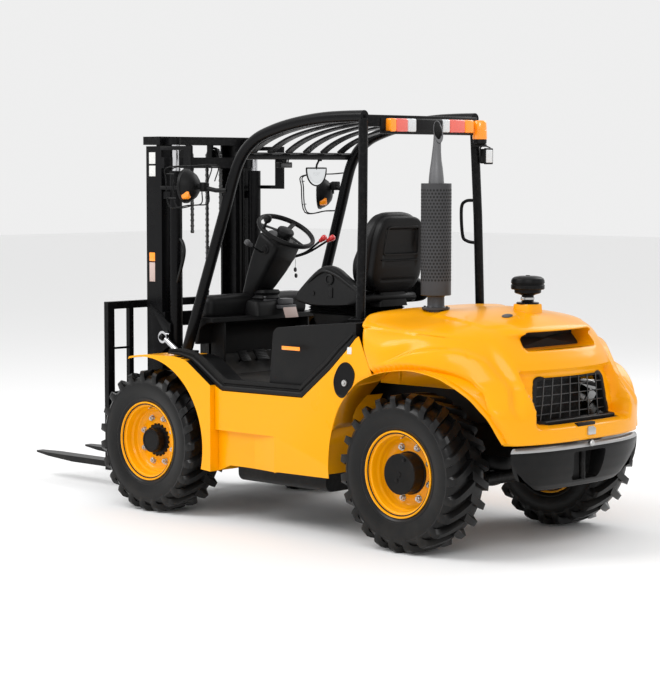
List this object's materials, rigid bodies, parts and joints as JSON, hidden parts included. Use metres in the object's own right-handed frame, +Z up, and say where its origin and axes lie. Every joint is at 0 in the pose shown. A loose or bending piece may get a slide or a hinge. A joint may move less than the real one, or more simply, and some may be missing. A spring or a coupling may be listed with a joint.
{
  "type": "rough terrain forklift",
  "caption": "Compact rough terrain forklift: two-stage mast with forks, lugged wheels, steered rear axle, overhead guard and a tail-hinged engine hood.",
  "frame": {"origin": "centre of the vehicle's box on the ground, as parked", "axes": "+X to the vehicle's left, +Y to its rear, +Z up; forks point to -Y"},
  "size_m": [1.431, 4.037, 2.15],
  "materials": {
    "yellow_paint": "gloss",
    "black_paint": "satin",
    "mast_black": "satin gloss",
    "charcoal_cast": "satin",
    "black_plastic": "matte",
    "vinyl": "satin",
    "tyre_rubber": "matte",
    "exhaust_metal": "satin",
    "chrome_rod": "polished",
    "chain_steel": "oiled",
    "engine_grey": "rough",
    "amber_lens": "gloss",
    "lamp_red": "gloss",
    "mirror_glass": "polished",
    "floor_mat": "matte"
  },
  "bodies": {
    "chassis": {"chassis_frame": "black_paint", "side_tanks": "black_paint", "front_axle": "black_paint", "rear_axle": "black_paint", "counterweight": "charcoal_cast", "engine_block": "engine_grey", "radiator": "black_paint", "front_fender_left": "yellow_paint", "front_fender_right": "yellow_paint", "side_panel_left": "yellow_paint", "side_panel_right": "yellow_paint", "sill_trims": "black_plastic", "floor_plate": "floor_mat", "seat_deck": "black_plastic", "dash_cowl": "black_plastic", "steering_column": "black_plastic", "operator_controls": "black_paint", "seat_base": "vinyl", "seat_cushion": "vinyl", "seat_backrest": "vinyl", "guard_frame": "mast_black", "roof_bars": "mast_black", "light_bar": "lamp_red", "beacon": "amber_lens", "lamps": "black_plastic", "mirrors": "mirror_glass"},
    "mast": {"outer_mast": "mast_black", "lift_cylinders": "mast_black"},
    "mast_inner": {"inner_mast": "mast_black", "lift_rods": "chrome_rod", "lift_chains": "chain_steel"},
    "carriage": {"fork_carriage": "mast_black", "load_backrest": "mast_black", "fork_left": "black_paint", "fork_right": "black_paint"},
    "tilt_cylinder_barrels": {"tilt_barrels": "black_paint"},
    "tilt_cylinder_rods": {"tilt_rods": "chrome_rod"},
    "engine_hood": {"hood": "yellow_paint", "hood_grille": "black_paint", "exhaust_stack": "exhaust_metal", "air_precleaner": "black_plastic"},
    "knuckle_left": {"rear_knuckle_left": "black_paint"},
    "knuckle_right": {"rear_knuckle_right": "black_paint"},
    "steering_cylinder_rod": {"steering_rod": "chrome_rod"},
    "steering_wheel_body": {"steering_wheel": "black_plastic"},
    "wheel_front_left": {"rim_front_left": "yellow_paint", "tyre_front_left": "tyre_rubber"},
    "wheel_front_right": {"rim_front_right": "yellow_paint", "tyre_front_right": "tyre_rubber"},
    "wheel_rear_left": {"rim_rear_left": "yellow_paint", "tyre_rear_left": "tyre_rubber"},
    "wheel_rear_right": {"rim_rear_right": "yellow_paint", "tyre_rear_right": "tyre_rubber"}
  },
  "joints": [
    {"name": "mast_tilt", "type": "hinge", "parent": "chassis", "child": "mast", "pos_m": [0, -0.6685, 0.42], "axis": [1, 0, 0], "range_deg": [-10, 6]},
    {"name": "inner_lift", "type": "slide", "parent": "mast", "child": "mast_inner", "axis": [0, 0, 1], "range_m": [0, 1.5]},
    {"name": "carriage_lift", "type": "slide", "parent": "mast_inner", "child": "carriage", "axis": [0, 0, 1], "range_m": [0, 1.5]},
    {"name": "tilt_barrel_swing", "type": "hinge", "parent": "chassis", "child": "tilt_cylinder_barrels", "pos_m": [0, -0.0585, 0.53], "axis": [1, 0, 0], "range_deg": [-10, 10]},
    {"name": "tilt_rod_slide", "type": "slide", "parent": "tilt_cylinder_barrels", "child": "tilt_cylinder_rods", "axis": [0, -0.8394, 0.5435], "range_m": [-0.09, 0.06]},
    {"name": "hood_tilt", "type": "hinge", "parent": "chassis", "child": "engine_hood", "pos_m": [0, 2.0055, 0.559], "axis": [-1, 0, 0], "range_deg": [0, 50]},
    {"name": "steer_left", "type": "hinge", "parent": "chassis", "child": "knuckle_left", "pos_m": [0.46, 1.3615, 0.385], "axis": [0, 0, 1], "range_deg": [-32, 32]},
    {"name": "steer_right", "type": "hinge", "parent": "chassis", "child": "knuckle_right", "pos_m": [-0.46, 1.3615, 0.385], "axis": [0, 0, 1], "range_deg": [-32, 32]},
    {"name": "steering_rod_slide", "type": "slide", "parent": "chassis", "child": "steering_cylinder_rod", "axis": [1, 0, 0], "range_m": [-0.085, 0.085]},
    {"name": "steering_wheel_turn", "type": "hinge", "parent": "chassis", "child": "steering_wheel_body", "pos_m": [0, -0.0935, 1.515], "axis": [0, 0.515, 0.8572], "range_deg": [-810, 810]},
    {"name": "spin_front_left", "type": "hinge", "parent": "chassis", "child": "wheel_front_left", "pos_m": [0.558, -0.4885, 0.385], "axis": [1, 0, 0], "continuous": true},
    {"name": "spin_front_right", "type": "hinge", "parent": "chassis", "child": "wheel_front_right", "pos_m": [-0.558, -0.4885, 0.385], "axis": [1, 0, 0], "continuous": true},
    {"name": "spin_rear_left", "type": "hinge", "parent": "knuckle_left", "child": "wheel_rear_left", "pos_m": [0.583, 1.3615, 0.385], "axis": [1, 0, 0], "continuous": true},
    {"name": "spin_rear_right", "type": "hinge", "parent": "knuckle_right", "child": "wheel_rear_right", "pos_m": [-0.583, 1.3615, 0.385], "axis": [1, 0, 0], "continuous": true}
  ],
  "couplings": [
    {"joint": "carriage_lift", "follows": "inner_lift", "ratio": 1},
    {"joint": "tilt_barrel_swing", "follows": "mast_tilt", "ratio": 0.36909},
    {"joint": "tilt_rod_slide", "follows": "mast_tilt", "m_per_rad": 0.43194},
    {"joint": "steer_right", "follows": "steer_left", "ratio": 1},
    {"joint": "steering_rod_slide", "follows": "steer_left", "m_per_rad": -0.109}
  ]
}
